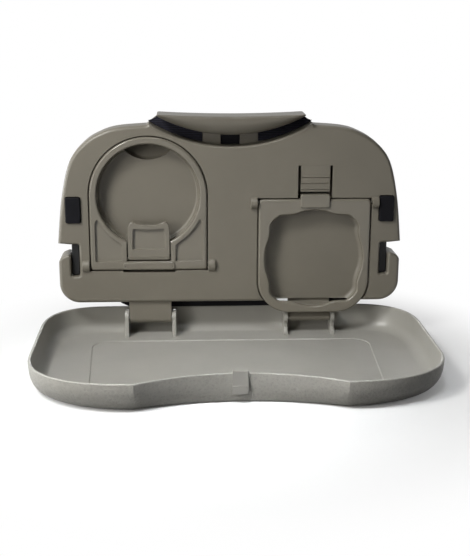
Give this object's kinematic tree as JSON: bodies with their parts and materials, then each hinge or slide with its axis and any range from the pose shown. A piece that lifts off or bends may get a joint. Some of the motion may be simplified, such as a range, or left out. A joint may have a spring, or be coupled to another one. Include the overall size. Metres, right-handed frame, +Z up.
{
  "type": "car seat tray table",
  "caption": "Folding tray table for a car seat back: scalloped tray hinged below an upright panel with a fold-down cup ring, a swing-up cup holder and a hand grip.",
  "frame": {"origin": "centre of the tray's underside, on the surface that the open table stands on", "axes": "+X to the right along the tray's width, +Y from the tray's scalloped front to the back panel, +Z up"},
  "size_m": [0.3508, 0.2208, 0.2148],
  "materials": {
    "beige_abs": "satin",
    "black_rubber": "matte",
    "black_nylon": "satin",
    "black_webbing": "woven",
    "grey_foam": "matte",
    "zinc_steel": "satin"
  },
  "bodies": {
    "panel": {"back_panel": "beige_abs", "rear_cover": "beige_abs", "hand_grip": "beige_abs", "groove_liner_left": "black_webbing", "groove_liner_right": "black_webbing", "hinge_leaf_left": "beige_abs", "hinge_leaf_right": "beige_abs", "hinge_pin_left": "zinc_steel", "hinge_pin_right": "zinc_steel", "ring_pin_left": "zinc_steel", "ring_pin_right": "zinc_steel", "holder_pin_left": "zinc_steel", "holder_pin_right": "zinc_steel", "bumper_left": "black_rubber", "bumper_right": "black_rubber", "stop_strip": "black_rubber", "seat_strap": "black_webbing", "strap_hook_left": "black_nylon", "strap_hook_right": "black_nylon", "headrest_strap": "black_webbing", "strap_anchor_left": "black_nylon", "strap_anchor_right": "black_nylon", "seat_pad_left": "grey_foam", "seat_pad_right": "grey_foam", "cover_screw_1": "zinc_steel", "cover_screw_2": "zinc_steel", "cover_screw_3": "zinc_steel", "cover_screw_4": "zinc_steel", "cover_screw_5": "zinc_steel", "cover_screw_6": "zinc_steel", "grip_screw_1": "zinc_steel", "grip_screw_2": "zinc_steel", "leaf_screw_1": "zinc_steel", "leaf_screw_2": "zinc_steel", "leaf_screw_3": "zinc_steel", "leaf_screw_4": "zinc_steel", "anchor_screw_left": "zinc_steel", "anchor_screw_right": "zinc_steel"},
    "tray": {"tray": "beige_abs"},
    "latch": {"latch_tab": "beige_abs"},
    "ring": {"cup_ring": "beige_abs", "tongue_pin": "zinc_steel"},
    "tongue": {"cup_tongue": "beige_abs"},
    "holder": {"cup_holder": "beige_abs"},
    "clip": {"release_clip": "beige_abs"},
    "slider": {"strap_slider": "black_nylon"}
  },
  "joints": [
    {"name": "tray_fold", "type": "hinge", "parent": "panel", "child": "tray", "pos_m": [0, 0.09025, 0.019], "axis": [1, 0, 0], "range_deg": [-90, 0]},
    {"name": "latch_press", "type": "hinge", "parent": "tray", "child": "latch", "pos_m": [0, -0.08447, 0.0283], "axis": [1, 0, 0], "range_deg": [0, 3.5], "stiffness_Nm_per_rad": 0.4},
    {"name": "ring_fold", "type": "hinge", "parent": "panel", "child": "ring", "pos_m": [-0.0767, 0.0842, 0.0721], "axis": [1, 0, 0], "range_deg": [0, 90]},
    {"name": "tongue_fold", "type": "hinge", "parent": "ring", "child": "tongue", "pos_m": [-0.0767, 0.0842, 0.0814], "axis": [1, 0, 0], "range_deg": [0, 90]},
    {"name": "holder_swing", "type": "hinge", "parent": "panel", "child": "holder", "pos_m": [0.0787, 0.08245, 0.1317], "axis": [-1, 0, 0], "range_deg": [0, 90]},
    {"name": "clip_press", "type": "hinge", "parent": "panel", "child": "clip", "pos_m": [0.0787, 0.08305, 0.1662], "axis": [1, 0, 0], "range_deg": [0, 6], "stiffness_Nm_per_rad": 0.4},
    {"name": "slider_shift", "type": "slide", "parent": "panel", "child": "slider", "axis": [-1, 0, 0], "range_m": [0, 0.12]}
  ]
}
